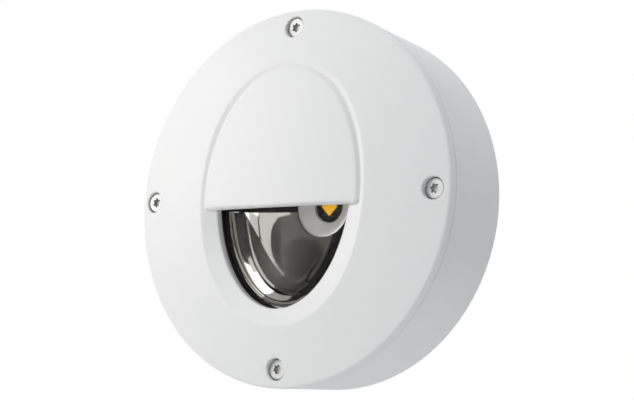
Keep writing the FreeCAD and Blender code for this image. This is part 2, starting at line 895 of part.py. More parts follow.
def make_cover_screws():
    """Four screws with a sunk round head and a star socket, each on its sealing washer."""
    for name, (side, rise) in COVER_SCREWS.items():
        body = turned_body(
            f"cover_screw_{name}",
            [
                ("0", "head_seat - screw_length"),
                ("screw_radius - thread_clearance", "head_seat - screw_length"),
                ("screw_radius", "head_seat - screw_length + screw_radius / 2"),
                ("screw_radius", "head_seat"),
                ("screw_head_radius", "head_seat"),
                ("screw_head_radius", "head_top - screw_head_round"),
                ("screw_head_radius - screw_head_round / 4", "head_top - screw_head_round / 2"),
                ("screw_head_radius - screw_head_round", "head_top"),
                ("0", "head_top"),
            ],
            side,
            rise,
        )
        drill(body, "star_radius - star_notch_radius", [("0", "0")], "head_top", "star_depth")
        points = circle_points(STAR_POINTS, "star_radius - star_notch_radius", STAR_TURNS[name])
        for across, up in points:
            drill(body, "star_notch_radius", [(across, up)], "head_top", "star_depth")
        turned_body(
            f"screw_washer_{name}",
            [
                ("screw_radius + seal_gap", "recess_floor"),
                ("washer_radius", "recess_floor"),
                ("washer_radius", "head_seat"),
                ("screw_radius + seal_gap", "head_seat"),
            ],
            side,
            rise,
        )


# Window


def oval_ring(outer_margin, inner_margin, depth, thickness):
    """A flat ring that follows the opening's oval."""
    return cut(
        oval(
            f"opening_half_width + {outer_margin}",
            f"opening_half_height + {outer_margin}",
            depth,
            thickness,
        ),
        oval(
            f"opening_half_width + {inner_margin}",
            f"opening_half_height + {inner_margin}",
            f"{depth} - overrun",
            f"{thickness} + 2 * overrun",
        ),
    )


def make_window():
    """The glass, the seal that wraps its edge and the frame that clamps both to the cover."""
    glass = oval(
        "opening_half_width + glass_margin",
        "opening_half_height + glass_margin",
        "glass_back",
        "glass_thickness",
    )
    keep(glass, "window_glass")
    seal = cut(
        oval_ring("window_seal_margin", "(-window_seal_inset)", "seal_back", "window_seal_thickness"),
        oval(
            "opening_half_width + glass_margin + glass_clearance",
            "opening_half_height + glass_margin + glass_clearance",
            "glass_back",
            "glass_thickness",
        ),
    )
    keep(seal, "window_seal")
    lugs = []
    for side, rise in RETAINER_SCREWS:
        lugs.append(rod("retainer_lug_radius", "retainer_back", "retainer_thickness", side, rise))
        half = f"({side}) * (1 - retainer_boss_radius / retainer_screw_side)"
        bridge = "2 * retainer_boss_radius"
        lugs.append(
            middle_block(bridge, "2 * retainer_lug_radius", "retainer_back", "retainer_thickness", half, rise)
        )
    ring = oval_ring(
        "window_seal_margin + pocket_clearance + pocket_wall",
        "retainer_inset",
        "retainer_back",
        "retainer_thickness",
    )
    clear = oval(
        "opening_half_width + retainer_inset",
        "opening_half_height + retainer_inset",
        "retainer_back - overrun",
        "retainer_thickness + 2 * overrun",
    )
    holes = [
        rod("small_screw_radius + hole_clearance", "retainer_back - overrun",
            "retainer_thickness + 2 * overrun", side, rise)
        for side, rise in RETAINER_SCREWS
    ]
    keep(cut(fuse(ring, *lugs), clear, *holes), "window_retainer")
    screws = [small_screw("retainer_back", side, rise, forward=True) for side, rise in RETAINER_SCREWS]
    keep(group(screws), "retainer_screws")


def small_screw(seat, side, rise, forward=False, length="small_screw_length"):
    """A slotted pan screw whose head sits on a depth; its shank runs to the wall, or away from it."""
    if forward:
        head = rod("small_head_radius", f"({seat}) - small_head_height", "small_head_height", side, rise)
        shank = rod("small_screw_radius", seat, length, side, rise)
        slot = f"({seat}) - small_head_height"
    else:
        head = rod("small_head_radius", seat, "small_head_height", side, rise)
        shank = rod("small_screw_radius", f"({seat}) - ({length})", length, side, rise)
        slot = f"({seat}) + small_head_height - slot_depth"
    groove = middle_block("4 * small_head_radius", "slot_width", slot, "slot_depth", side, rise)
    return cut(fuse(head, shank), groove)


# Reflector and shroud


def bowl(wall):
    """The shallow oval bowl and the two deeper troughs that cross it, grown by a wall."""
    eggs = [egg(f"bowl_half_width + {wall}", f"bowl_half_height + {wall}", f"bowl_depth + {wall}",
                "0", "opening_rise")]
    for side in ("trough_shift", "-trough_shift"):
        eggs.append(
            egg(f"trough_half_width + {wall}", f"trough_half_height + {wall}", f"trough_depth + {wall}",
                side, "trough_rise")
        )
    return fuse(*eggs)


def mirror_top(gap):
    """A wedge that fills the space below the reflector's sloping top edge."""
    wedge = new("Part::Wedge", "wedge")
    low = f"({gap} - mirror_top_drop)"
    bind(wedge, "Xmin", "0")
    bind(wedge, "Xmax", "2 * disc_radius")
    bind(wedge, "X2min", "0")
    bind(wedge, "X2max", "2 * disc_radius")
    bind(wedge, "Ymin", "0")
    bind(wedge, "Ymax", "rim_depth")
    bind(wedge, "Zmin", "-disc_radius")
    bind(wedge, "Z2min", "-disc_radius")
    bind(wedge, "Zmax", f"{low} + mirror_top_lift * rim_depth / (rim_depth - holder_depth)")
    bind(wedge, "Z2max", low)
    wedge.Placement = FreeCAD.Placement(
        FreeCAD.Vector(), FreeCAD.Rotation(FreeCAD.Vector(0, 0, 1), 180)
    )
    bind(wedge, "Placement.Base.x", "disc_radius")
    return wedge


def make_optics():
    """The reflector's lower bowl, and the dark shroud that closes the same bowl above it."""
    rim_width = "bowl_half_width + optic_wall"
    rim_height = "bowl_half_height + optic_wall"
    wide = "2 * disc_radius"
    rim = oval(rim_width, rim_height, "0", "rim_depth")
    opening = rod("holder_hole", "0", "rim_depth")
    outer = bowl("optic_wall")
    inner = bowl("0")
    shells = []
    for posts in (LOWER_POSTS, UPPER_POSTS):
        ears = [make_ear(side, rise) for side, rise in posts]
        room = [
            rod("2 * ear_half_height", "0", "ear_depth + small_screw_length", side, rise)
            for side, rise in posts
        ]
        holes = [
            rod("small_screw_radius + hole_clearance", "ear_depth - overrun",
                "ear_thickness + 2 * overrun", side, rise)
            for side, rise in posts
        ]
        heads = [
            rod("small_head_radius + hole_clearance", "ear_depth + ear_thickness",
                "small_head_height + hole_clearance", side, rise)
            for side, rise in posts
        ]
        behind_rim = rod("disc_radius", "0", "rim_depth")
        eared = common(fuse(outer, *ears), behind_rim, fuse(rim, *room))
        shells.append(cut(eared, opening, *holes, *heads))
    keep(common(cut(shells[0], inner), mirror_top("0")), "reflector")
    roof = "(shroud_roof_rise + optic_wall)"
    under_roof = block(wide, wide, "0", "rim_depth", "-disc_radius", f"{roof} - 2 * disc_radius")
    hollow = common(
        inner,
        block(wide, wide, "0", "rim_depth + overrun", "-disc_radius", "shroud_roof_rise - 2 * disc_radius"),
    )
    shroud = cut(common(shells[1], under_roof), hollow, mirror_top("optic_gap"))
    flange = common(
        oval(rim_width, rim_height, "rim_depth - optic_wall", "optic_wall"),
        block(wide, wide, "0", "rim_depth", "-disc_radius", "shroud_roof_rise"),
    )
    keep(fuse(shroud, flange), "light_shroud")


def make_ear(side, rise):
    """A screw ear that runs from the middle of the bowl out to its post."""
    width = "post_side + ear_half_height"
    left = f"-({width})" if side.startswith("-") else "0"
    low = f"{rise} - ear_half_height"
    return block(width, "2 * ear_half_height", "ear_depth", "ear_thickness", left, low)


# Light source


def make_light_source():
    """From the tray outwards: pad, board, carrier, emitter and lens inside a conical holder."""
    for label, depth, thickness in (
        ("thermal_pad", "tray_front", "pad_thickness"),
        ("led_board", "pad_front", "board_thickness"),
    ):
        plate = block("2 * board_half_width", "board_drop + board_rise", depth, thickness,
                      "-board_half_width", "-board_drop")
        holes = [rod("small_screw_radius + hole_clearance", f"{depth} - overrun",
                     f"{thickness} + 2 * overrun", side, rise) for side, rise in HOLDER_SCREWS]
        keep(cut(plate, *holes), label)
    pads = [
        rod("solder_pad_radius", "board_front", "solder_pad_height", side, "board_rise - solder_pad_inset")
        for side in ("-solder_pad_side", "solder_pad_side")
    ]
    keep(group(pads), "solder_pads")
    keep(rod("carrier_radius", "board_front", "carrier_thickness"), "led_carrier")
    emitter = new("Part::Box", "emitter")
    bind(emitter, "Length", "emitter_side")
    bind(emitter, "Width", "emitter_side")
    bind(emitter, "Height", "emitter_thickness")
    face_front(emitter, "0", "carrier_front", "-emitter_side / sqrt(2)")
    emitter.Placement.Rotation = FRONT.multiply(FreeCAD.Rotation(FreeCAD.Vector(0, 0, 1), 45))
    keep(emitter, "led_emitter")
    sphere = "((carrier_radius^2 + (lens_height - lens_foot)^2) / (2 * (lens_height - lens_foot)))"
    cap = common(
        rod("carrier_radius", "carrier_front", "lens_height"),
        ball(sphere, f"carrier_front + lens_height - {sphere}"),
    )
    keep(cut(cap, rod("lens_cavity_radius", "carrier_front", "lens_foot")), "led_lens")
    web = "board_front + holder_web"
    holder = turned_body(
        "led_holder",
        [
            ("window_ring_radius", "board_front"),
            ("holder_radius", "board_front"),
            ("holder_radius", "holder_depth"),
            ("holder_radius - holder_rim", "holder_depth"),
            ("window_ring_radius", web),
        ],
    )
    bite = "board_front + holder_screw_bite"
    drill(holder, "small_screw_radius + thread_clearance", HOLDER_SCREWS, bite, "holder_screw_bite")
    length = "holder_screw_bite - pocket_clearance + board_front - tray_depth"
    screws = [small_screw("tray_depth", side, rise, True, length) for side, rise in HOLDER_SCREWS]
    keep(group(screws), "holder_screws")


# Gear tray


def make_tray():
    """The metal plate that carries the light source, the driver and the terminal block."""

    def outline(sketch):
        draw_outline(
            sketch,
            [
                ("-tray_half_width", "-tray_drop"),
                ("tray_half_width", "-tray_drop"),
                ("tray_half_width", "tray_shoulder"),
                ("tray_wing", "tray_shoulder"),
                ("tray_wing", "tray_wing_rise"),
                ("tray_wing - tray_corner", "tray_rise"),
                ("tray_corner - tray_wing", "tray_rise"),
                ("-tray_wing", "tray_wing_rise"),
                ("-tray_wing", "tray_shoulder"),
                ("-tray_half_width", "tray_shoulder"),
            ],
        )

    tray = padded_body("gear_tray", outline, "tray_depth", "tray_thickness")
    clear = "small_screw_radius + hole_clearance"
    drill(tray, clear, TRAY_SCREWS + HOLDER_SCREWS, "tray_front", "tray_thickness")
    small = "small_screw_radius + thread_clearance"
    drill(tray, small, DRIVER_SCREWS, "tray_front", "tray_thickness")
    length = "tray_front - back_wall / 2 - pocket_clearance"
    screws = [small_screw("tray_front", side, rise, False, length) for side, rise in TRAY_SCREWS]
    keep(group(screws), "tray_screws")
    posts = []
    for side, rise in LOWER_POSTS + UPPER_POSTS:
        post = rod("post_radius", "tray_front", "post_length", side, rise)
        hole = rod(small, "ear_depth - small_screw_length", "small_screw_length", side, rise)
        posts.append(cut(post, hole))
    keep(group(posts), "optic_posts")
    seat = "ear_depth + ear_thickness"
    screws = [small_screw(seat, side, rise) for side, rise in LOWER_POSTS + UPPER_POSTS]
    keep(group(screws), "optic_screws")


# Driver


def make_driver():
    """A case with two screw ears, its lid, and a board with a coil and a capacitor inside."""
    outer = block("driver_length", "driver_height", "tray_front", "driver_thickness - driver_wall",
                  "-driver_left", "driver_bottom")
    ears = []
    holes = []
    for side, rise in DRIVER_SCREWS:
        ears.append(middle_block("driver_ear_width", "driver_ear_width", "tray_front",
                                 "driver_ear_thickness", side, rise))
        holes.append(rod("small_screw_radius + hole_clearance", "tray_front - overrun",
                         "driver_thickness", side, rise))
    inner = block(
        "driver_length - 2 * driver_wall",
        "driver_height - 2 * driver_wall",
        "tray_front + driver_wall",
        "driver_thickness",
        "driver_wall - driver_left",
        "driver_bottom + driver_wall",
    )
    leads_right = rod("lead_radius + lead_lift", "0", "driver_wall + 2 * overrun")
    place_across(leads_right, DRIVER_RIGHT + " - driver_wall - overrun", MAINS_DEPTH, LIVE_RISE)
    leads_right_low = rod("lead_radius + lead_lift", "0", "driver_wall + 2 * overrun")
    place_across(leads_right_low, DRIVER_RIGHT + " - driver_wall - overrun", MAINS_DEPTH, NEUTRAL_RISE)
    leads_left = []
    for depth in (PLUS_DEPTH, MINUS_DEPTH):
        hole = rod("lead_radius + lead_lift", "0", "driver_wall + 2 * overrun")
        leads_left.append(place_across(hole, "-driver_left - overrun", depth, SUPPLY_RISE))
    case = cut(fuse(outer, *ears), inner, leads_right, leads_right_low, *leads_left, *holes)
    keep(case, "driver_case")
    lid_back = "tray_front + driver_thickness - driver_wall"
    lid = block("driver_length", "driver_height", lid_back, "driver_wall", "-driver_left", "driver_bottom")
    lip = block(
        "driver_length - 2 * driver_wall - 2 * pocket_clearance",
        "driver_height - 2 * driver_wall - 2 * pocket_clearance",
        lid_back + " - driver_wall",
        "driver_wall",
        "driver_wall + pocket_clearance - driver_left",
        "driver_bottom + driver_wall + pocket_clearance",
    )
    keep(fuse(lid, lip), "driver_lid")
    floor = "(tray_front + driver_wall)"
    inset = "(driver_wall + driver_board_gap)"
    board_back = f"({floor} + driver_board_stand)"
    board = block(
        f"driver_length - 2 * {inset}",
        f"driver_height - 2 * {inset}",
        board_back,
        "driver_board_thickness",
        f"{inset} - driver_left",
        f"driver_bottom + {inset}",
    )
    centre = f"({DRIVER_RIGHT} - driver_left) / 2"
    stands = [
        rod("driver_board_stand / 2", floor, "driver_board_stand", f"{centre} {sign} driver_length / 4",
            DRIVER_MIDDLE)
        for sign in "-+"
    ]
    keep(fuse(board, *stands), "driver_board")
    top = f"({board_back} + driver_board_thickness)"
    at = ("-coil_length", DRIVER_MIDDLE)
    core = middle_block("coil_length", "coil_height", top, "coil_height / 2", *at)
    winding = rod("coil_height / 2 - driver_wall", f"{top} + coil_height / 2", "driver_wall", *at)
    keep(fuse(core, winding), "driver_coil")
    capacitor = rod("capacitor_radius", "0", "capacitor_length")
    place_across(capacitor, "0", f"{top} + capacitor_radius", DRIVER_MIDDLE)
    keep(capacitor, "driver_capacitor")
    seat = "tray_front + driver_ear_thickness"
    length = "driver_ear_thickness + tray_thickness"
    screws = [small_screw(seat, side, rise, False, length) for side, rise in DRIVER_SCREWS]
    keep(group(screws), "driver_screws")


def place_across(item, side, depth, rise):
    """Lay a cylinder along X, from a place to the right."""
    item.Placement = FreeCAD.Placement(FreeCAD.Vector(), FreeCAD.Rotation(FreeCAD.Vector(0, 1, 0), 90))
    bind(item, "Placement.Base.x", side)
    bind(item, "Placement.Base.y", f"-({depth})")
    bind(item, "Placement.Base.z", rise)
    return item


def place_up(item, side, depth, rise):
    """Stand a cylinder along Z, from a place upwards."""
    item.Placement = FreeCAD.Placement(FreeCAD.Vector(), FreeCAD.Rotation())
    bind(item, "Placement.Base.x", side)
    bind(item, "Placement.Base.y", f"-({depth})")
    bind(item, "Placement.Base.z", rise)
    return item


# Where the leads run

MAINS_DEPTH = "(tray_front + entry_depth)"
LIVE_RISE = "(driver_bottom + driver_height - driver_wall - 6 * lead_radius)"
NEUTRAL_RISE = "(driver_bottom + driver_height - driver_wall - 2.5 * lead_radius)"
SUPPLY_RISE = "(driver_bottom + driver_wall + 3.3 * lead_radius)"
BOARD_TOP = "(tray_front + driver_wall + driver_board_stand + driver_board_thickness)"
PLUS_DEPTH = f"({BOARD_TOP} + 1.5 * lead_radius)"
MINUS_DEPTH = f"({BOARD_TOP} + 4.5 * lead_radius)"
BARREL_RISE = "(-earth_drop + 1.7 * earth_lug_radius)"


# Terminal block


def pole_side(number):
    """The middle of a pole, counted from the left."""
    return f"(terminal_left + terminal_width / 2 + terminal_pitch * {number - 1})"


def make_terminal():
    """A three-pole block with wire entries above and below, and a release button on each pole."""
    solid = block("terminal_width", "terminal_height", "tray_front", "terminal_thickness",
                  "terminal_left", "terminal_bottom")
    middle = "(terminal_bottom + terminal_height / 2)"
    front = "(tray_front + terminal_thickness)"
    tools = []
    clamps = []
    for number in range(POLES):
        side = pole_side(number)
        for bottom in ("terminal_bottom - overrun", "terminal_bottom + terminal_height - entry_length"):
            entry = rod("entry_radius", "0", "entry_length + overrun")
            tools.append(place_up(entry, side, MAINS_DEPTH, bottom))
        tools.append(
            middle_block(
                "button_width + 2 * button_clearance",
                "button_height + 2 * button_clearance",
                f"{front} + button_proud - button_length - button_travel",
                "button_length + button_travel + overrun",
                side,
                middle,
            )
        )
        outer = middle_block("clamp_width", "clamp_height", f"{MAINS_DEPTH} - clamp_length / 2",
                             "clamp_length", side, middle)
        tools.append(
            middle_block("clamp_width + button_clearance", "clamp_height + button_clearance",
                         f"{MAINS_DEPTH} - clamp_length / 2 - button_clearance / 2",
                         "clamp_length + button_clearance", side, middle)
        )
        hollow = middle_block(
            "clamp_width - 2 * clamp_thickness",
            "clamp_height + 2 * overrun",
            f"{MAINS_DEPTH} - clamp_length / 2 + clamp_thickness",
            "clamp_length - 2 * clamp_thickness",
            side,
            middle,
        )
        clamps.append(cut(outer, hollow))
        button = middle_block("button_width", "button_height", f"{front} + button_proud - button_length",
                              "button_length", side, middle)
        keep(button, f"release_button_{number + 1}")
    keep(cut(solid, *tools), "terminal_block")
    keep(group(clamps), "terminal_clamps")


def make_earth():
    """The earth lug and its screw on the housing's earth post."""
    seat = "(back_wall + earth_post_height)"
    ring = rod("earth_lug_radius", seat, "earth_lug_thickness", *EARTH)
    tongue = middle_block("2 * earth_barrel_radius", "2 * earth_lug_radius", seat, "earth_lug_thickness",
                          "earth_side", "-earth_drop + earth_lug_radius")
    barrel = rod("earth_barrel_radius", "0", "earth_barrel_length")
    place_up(barrel, "earth_side", f"{seat} + earth_barrel_radius", BARREL_RISE)
    bore = rod("lead_radius + lead_lift", "0", "earth_barrel_length + overrun")
    place_up(bore, "earth_side", f"{seat} + earth_barrel_radius", BARREL_RISE + " + earth_barrel_length / 3")
    hole = rod("earth_screw_radius + hole_clearance", f"{seat} - overrun", "3 * overrun", *EARTH)
    keep(cut(fuse(ring, tongue, barrel), bore, hole), "earth_lug")
    top = f"{seat} + earth_lug_thickness"
    head = rod("earth_head_radius", top, "earth_head_height", *EARTH)
    shank = rod("earth_screw_radius", f"{top} - earth_screw_length", "earth_screw_length", *EARTH)
    slot = middle_block("4 * earth_head_radius", "slot_width", f"{top} + earth_head_height - slot_depth",
                        "slot_depth", *EARTH)
    keep(cut(fuse(head, shank), slot), "earth_screw")


# Leads


def lead(label, route):
    """A wire of straight runs joined by tangent arcs along a route of points."""
    points = [FreeCAD.Vector(value(side), -value(depth), value(rise)) for side, depth, rise in route]
    edges = []
    radii = []
    start = points[0]
    for i in range(1, len(points) - 1):
        back = points[i - 1] - points[i]
        onward = points[i + 1] - points[i]
        turn = math.pi - back.getAngle(onward)
        trim = BEND_SHARE * min(back.Length, onward.Length)
        radii.append(round(trim / math.tan(turn / 2), 2))
        back.normalize()
        onward.normalize()
        enter = points[i] + back * trim
        leave = points[i] + onward * trim
        inward = (back + onward).normalize()
        bend = trim / math.tan(turn / 2)
        middle = points[i] + inward * (bend / math.cos(turn / 2) - bend)
        edges.append(Part.LineSegment(start, enter).toShape())
        edges.append(Part.Arc(enter, middle, leave).toShape())
        start = leave
    edges.append(Part.LineSegment(start, points[-1]).toShape())
    path = Part.Wire(edges)
    radius = value("lead_radius")
    section = Part.Wire(Part.makeCircle(radius, points[0], points[1] - points[0]))
    tube = path.makePipeShell([section], True, False)
    expected = math.pi * radius**2 * path.Length
    print(label, "radii", radii, "volume share", round(tube.Volume / expected, 4))
    item = new("Part::Feature", label)
    item.Shape = tube
    keep(item, label)


def make_leads():
    """The wires inside: supply to the driver, driver to the light source, and earth."""
    top_end = "terminal_bottom + terminal_height - entry_length + lead_radius"
    inside = f"{DRIVER_RIGHT} - driver_wall - lead_radius"
    for label, number, rise in (("lead_live", 0, LIVE_RISE), ("lead_neutral", 1, NEUTRAL_RISE)):
        side = pole_side(number)
        lead(label, [(side, MAINS_DEPTH, top_end), (side, MAINS_DEPTH, rise), (inside, MAINS_DEPTH, rise)])
    earth = pole_side(POLES - 1)
    barrel = "back_wall + earth_post_height + earth_barrel_radius"
    lead(
        "lead_earth",
        [
            (earth, MAINS_DEPTH, "terminal_bottom + entry_length - lead_radius"),
            (earth, MAINS_DEPTH, "terminal_bottom - 6"),
            ("earth_side + 10", MAINS_DEPTH, "terminal_bottom - 18"),
            ("earth_side + 10", MAINS_DEPTH + " - 2", "-earth_drop + 22"),
            ("earth_side", barrel, "-earth_drop + 17"),
            ("earth_side", barrel, BARREL_RISE + " + earth_barrel_length / 3 + lead_lift"),
        ],
    )
    on_pad = "(board_front + solder_pad_height + lead_lift + lead_radius)"
    start = "board_rise - solder_pad_inset - lead_radius"
    gutter = "(board_rise + driver_bottom) / 2"
    inside = "driver_wall + lead_radius - driver_left"
    for label, side, lift, outward, end in (
        ("lead_led_plus", "-solder_pad_side", "0", "driver_left + 4.5", PLUS_DEPTH),
        ("lead_led_minus", "solder_pad_side", "2.5", "driver_left + 7", MINUS_DEPTH),
    ):
        lead(
            label,
            [
                (side, on_pad, start),
                (side, f"{on_pad} + {lift}", gutter),
                (f"-({outward})", f"{on_pad} + {lift}", gutter),
                (f"-({outward})", end, SUPPLY_RISE),
                (inside, end, SUPPLY_RISE),
            ],
        )


BUILDERS = [
    make_housing,
    make_grommet,
    make_front_cover,
    make_cover_seal,
    make_cover_screws,
    make_window,
    make_optics,
    make_light_source,
    make_tray,
    make_driver,
    make_terminal,
    make_earth,
    make_leads,
]

for build in BUILDERS:
    build()
doc.recompute()

for item in doc.Objects:
    if "Invalid" in item.State or "Error" in item.State:
        raise ValueError(f"{item.Label} failed: {item.State}")
for before, pocket in pockets:
    if pocket.Shape.Volume >= before.Shape.Volume:
        raise ValueError(f"{pocket.Label} cuts nothing")
for item in subparts:
    if item.Shape.isNull() or not item.Shape.isValid():
        raise ValueError(f"{item.Label} has no valid shape")

os.makedirs("parts", exist_ok=True)
for item in subparts:
    item.Shape.exportStep(f"parts/{item.Label}.step")
    print(item.Label, len(item.Shape.Solids), round(item.Shape.Volume, 1))
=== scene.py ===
import json
import math

import bpy
from mathutils import Matrix, Vector

# A round outdoor wall light in the light of a white studio.
# Metres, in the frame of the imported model: the wall is the plane y = 0, -Y runs out of it and
# +Z is up.

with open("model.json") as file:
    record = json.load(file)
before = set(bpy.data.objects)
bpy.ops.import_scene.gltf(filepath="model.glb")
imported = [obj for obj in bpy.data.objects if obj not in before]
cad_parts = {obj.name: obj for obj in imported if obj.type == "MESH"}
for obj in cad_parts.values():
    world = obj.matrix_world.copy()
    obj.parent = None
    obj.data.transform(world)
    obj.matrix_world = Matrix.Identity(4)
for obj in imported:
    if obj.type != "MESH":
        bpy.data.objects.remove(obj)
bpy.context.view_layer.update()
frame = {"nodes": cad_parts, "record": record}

MM = 0.001
WHITE = (1.0, 1.0, 1.0)

# Camera: its place, the direction back from the light towards it, and its own upward direction
CAMERA_PLACE = Vector((0.42175, -0.59858, -0.10075))
CAMERA_BACK = Vector((0.58344, -0.79972, -0.14152))
CAMERA_UP = Vector((0.04090, -0.14510, 0.98860))
CAMERA_LENS = 90.15
CAMERA_NEAR = 0.01

# Floor
FLOOR_HEIGHT = -0.14
FLOOR_SIZE = 4.0
FLOOR_COLOUR = (0.86, 0.86, 0.86)
FLOOR_ROUGHNESS = 0.8

# Light from all round. It is stronger than its level from the left by the share AMBIENT_FALL, and
# weaker from the right by the same share.
AMBIENT_COLOUR = (0.94, 0.965, 1.0)
AMBIENT_LEVEL = 0.55
AMBIENT_FALL = 0.45

# Softboxes, and the point that they face
KEY_PLACE = Vector((-0.95, -0.80, 0.35))
KEY_SIZE = 0.55
KEY_POWER = 6.8
KEY_COLOUR = (1.0, 0.975, 0.94)
TOP_PLACE = Vector((0.25, -0.10, 1.20))
TOP_SIZE = 0.50
TOP_POWER = 4.9
LAMP_TARGET = Vector((0.0, -0.045, 0.0))

# Lamps inside the window, as name, place (mm), width and height (mm), direction, and brightness in
# a mirror. The mirror lamps light no matt surface, and the source lamp shows in no gloss.
MIRROR_LAMPS = (
    ("roof_lamp_back", (-3.3, -22.0, 15.4), (21.6, 16.0), (0.0, 0.0, -1.0), 2.4),
    ("roof_lamp_front", (-5.3, -34.5, 15.4), (17.6, 9.0), (0.0, 0.0, -1.0), 2.4),
    ("roof_corner", (7.0, -34.5, 15.4), (7.0, 9.0), (0.0, 0.0, -1.0), 1.05),
    ("roof_glow", (-23.5, -26.0, 15.4), (18.0, 24.0), (0.0, 0.0, -1.0), 0.55),
    ("front_glow", (3.0, -45.5, 18.5), (30.0, 15.0), (0.0, 1.0, 0.0), 1.05),
    ("side_glow", (-31.5, -33.0, 4.0), (14.0, 22.0), (1.0, 0.0, 0.0), 0.02),
    ("lip_glow", (-20.0, -42.5, 8.0), (24.0, 8.0), (0.3, 1.0, 0.0), 0.11),
)
SOURCE_LAMP = ("source_lamp", (12.0, -28.0, -14.0), (8.0, 8.0), (-0.45, 0.75, 0.45), 22.0)

# Finishes. Colours are linear, and sizes, depths and edges are in millimetres.
PAINT = (0.80, 0.80, 0.795)
PAINT_SHADE = (0.77, 0.77, 0.77)
# The span of noise values that is spread between the two ends of a finish
NOISE_LOW = 0.3
NOISE_HIGH = 0.7
# How far plastic and rolled metal get glossier and duller than their own roughness
GLOSSIER = 0.06
DULLER = 0.08
# Lines in rolled metal: their noise is pressed together along Z
ROLLED = (1.0, 1.0, 12.0)
METAL_EDGE = 0.25
# Radians that a wave of rings runs through in a unit of length at a scale of 1
RING_RADIANS = 20
BEVEL_SAMPLES = 6


# Materials


def new_material(name, colour, roughness, metallic=0.0):
    """A material with one Principled shader, whose sockets hold what is the same all over."""
    material = bpy.data.materials.new(name)
    material.use_nodes = True
    tree = material.node_tree
    shader = tree.nodes["Principled BSDF"]
    shader.inputs["Base Color"].default_value = (*colour, 1.0)
    shader.inputs["Roughness"].default_value = roughness
    shader.inputs["Metallic"].default_value = metallic
    return material, tree, shader


def place(tree, kind="Object"):
    """Coordinates that stay with the piece, in metres, or a direction in the world as Generated."""
    return tree.nodes.new("ShaderNodeTexCoord").outputs[kind]


def noise(tree, size, detail=2.0, press=None):
    """Noise whose features are about a size across, pressed together along an axis if asked."""
    texture = tree.nodes.new("ShaderNodeTexNoise")
    texture.inputs["Scale"].default_value = 1 / (size * MM)
    texture.inputs["Detail"].default_value = detail
    source = place(tree)
    if press:
        mapping = tree.nodes.new("ShaderNodeMapping")
        mapping.inputs["Scale"].default_value = press
        tree.links.new(source, mapping.inputs["Vector"])
        source = mapping.outputs["Vector"]
    tree.links.new(source, texture.inputs["Vector"])
    return texture.outputs["Fac"]


def darker(colour, share):
    """A colour with a share of its light."""
    return tuple(share * c for c in colour)


def vary_colour(tree, shader, first, second, factor):
    """Colour that wanders between two tones."""
    mix = tree.nodes.new("ShaderNodeMix")
    mix.data_type = "RGBA"
    mix.inputs["A"].default_value = (*first, 1.0)
    mix.inputs["B"].default_value = (*second, 1.0)
    tree.links.new(factor, mix.inputs["Factor"])
    tree.links.new(mix.outputs["Result"], shader.inputs["Base Color"])


def roughen(tree, shader, factor, low, high):
    """Roughness that wanders between two values."""
    spread = tree.nodes.new("ShaderNodeMapRange")
    spread.inputs["From Min"].default_value = NOISE_LOW
    spread.inputs["From Max"].default_value = NOISE_HIGH
    spread.inputs["To Min"].default_value = low
    spread.inputs["To Max"].default_value = high
    tree.links.new(factor, spread.inputs["Value"])
    tree.links.new(spread.outputs["Result"], shader.inputs["Roughness"])


def relief(tree, shader, height, depth, edge=0.0):
    """Fine relief, with edges softened over a radius if asked."""
    bump = tree.nodes.new("ShaderNodeBump")
    bump.inputs["Strength"].default_value = 1.0
    bump.inputs["Distance"].default_value = depth * MM
    tree.links.new(height, bump.inputs["Height"])
    if edge:
        bevel = tree.nodes.new("ShaderNodeBevel")
        bevel.samples = BEVEL_SAMPLES
        bevel.inputs["Radius"].default_value = edge * MM
        tree.links.new(bevel.outputs["Normal"], bump.inputs["Normal"])
    tree.links.new(bump.outputs["Normal"], shader.inputs["Normal"])


def paint(name, edge):
    """White powder coat: a fine grain, slightly uneven in tone and gloss."""
    material, tree, shader = new_material(name, PAINT, roughness=0.48)
    vary_colour(tree, shader, PAINT, PAINT_SHADE, noise(tree, size=40))
    grain = noise(tree, size=0.5, detail=3.0)
    roughen(tree, shader, grain, low=0.42, high=0.55)
    relief(tree, shader, grain, depth=0.012, edge=edge)
    return material


def rubber(name, colour, bloom=0.02):
    """Matt moulded rubber with a dusty bloom."""
    material, tree, shader = new_material(name, colour, roughness=0.6)
    shader.inputs["Specular IOR Level"].default_value = 0.2
    pale = tuple(c + bloom for c in colour)
    vary_colour(tree, shader, colour, pale, noise(tree, size=3))
    grain = noise(tree, size=0.3)
    roughen(tree, shader, grain, low=0.5, high=0.7)
    relief(tree, shader, grain, depth=0.01, edge=0.2)
    return material


def moulding(name, colour, roughness=0.45, edge=0.3, gloss=0.5):
    """Moulded plastic with a fine spark-eroded grain."""
    material, tree, shader = new_material(name, colour, roughness)
    shader.inputs["Specular IOR Level"].default_value = gloss
    vary_colour(tree, shader, colour, darker(colour, share=0.9), noise(tree, size=6))
    grain = noise(tree, size=0.25)
    roughen(tree, shader, grain, roughness - GLOSSIER, roughness + DULLER)
    relief(tree, shader, grain, depth=0.006, edge=edge)
    return material


def sheet_metal(name, colour, roughness):
    """Rolled or drawn metal with faint lines along one direction."""
    material, tree, shader = new_material(name, colour, roughness, metallic=1.0)
    lines = noise(tree, size=1.2, detail=3.0, press=ROLLED)
    vary_colour(tree, shader, colour, darker(colour, share=0.86), lines)
    roughen(tree, shader, lines, roughness - GLOSSIER, roughness + DULLER)
    relief(tree, shader, lines, depth=0.004, edge=METAL_EDGE)
    return material


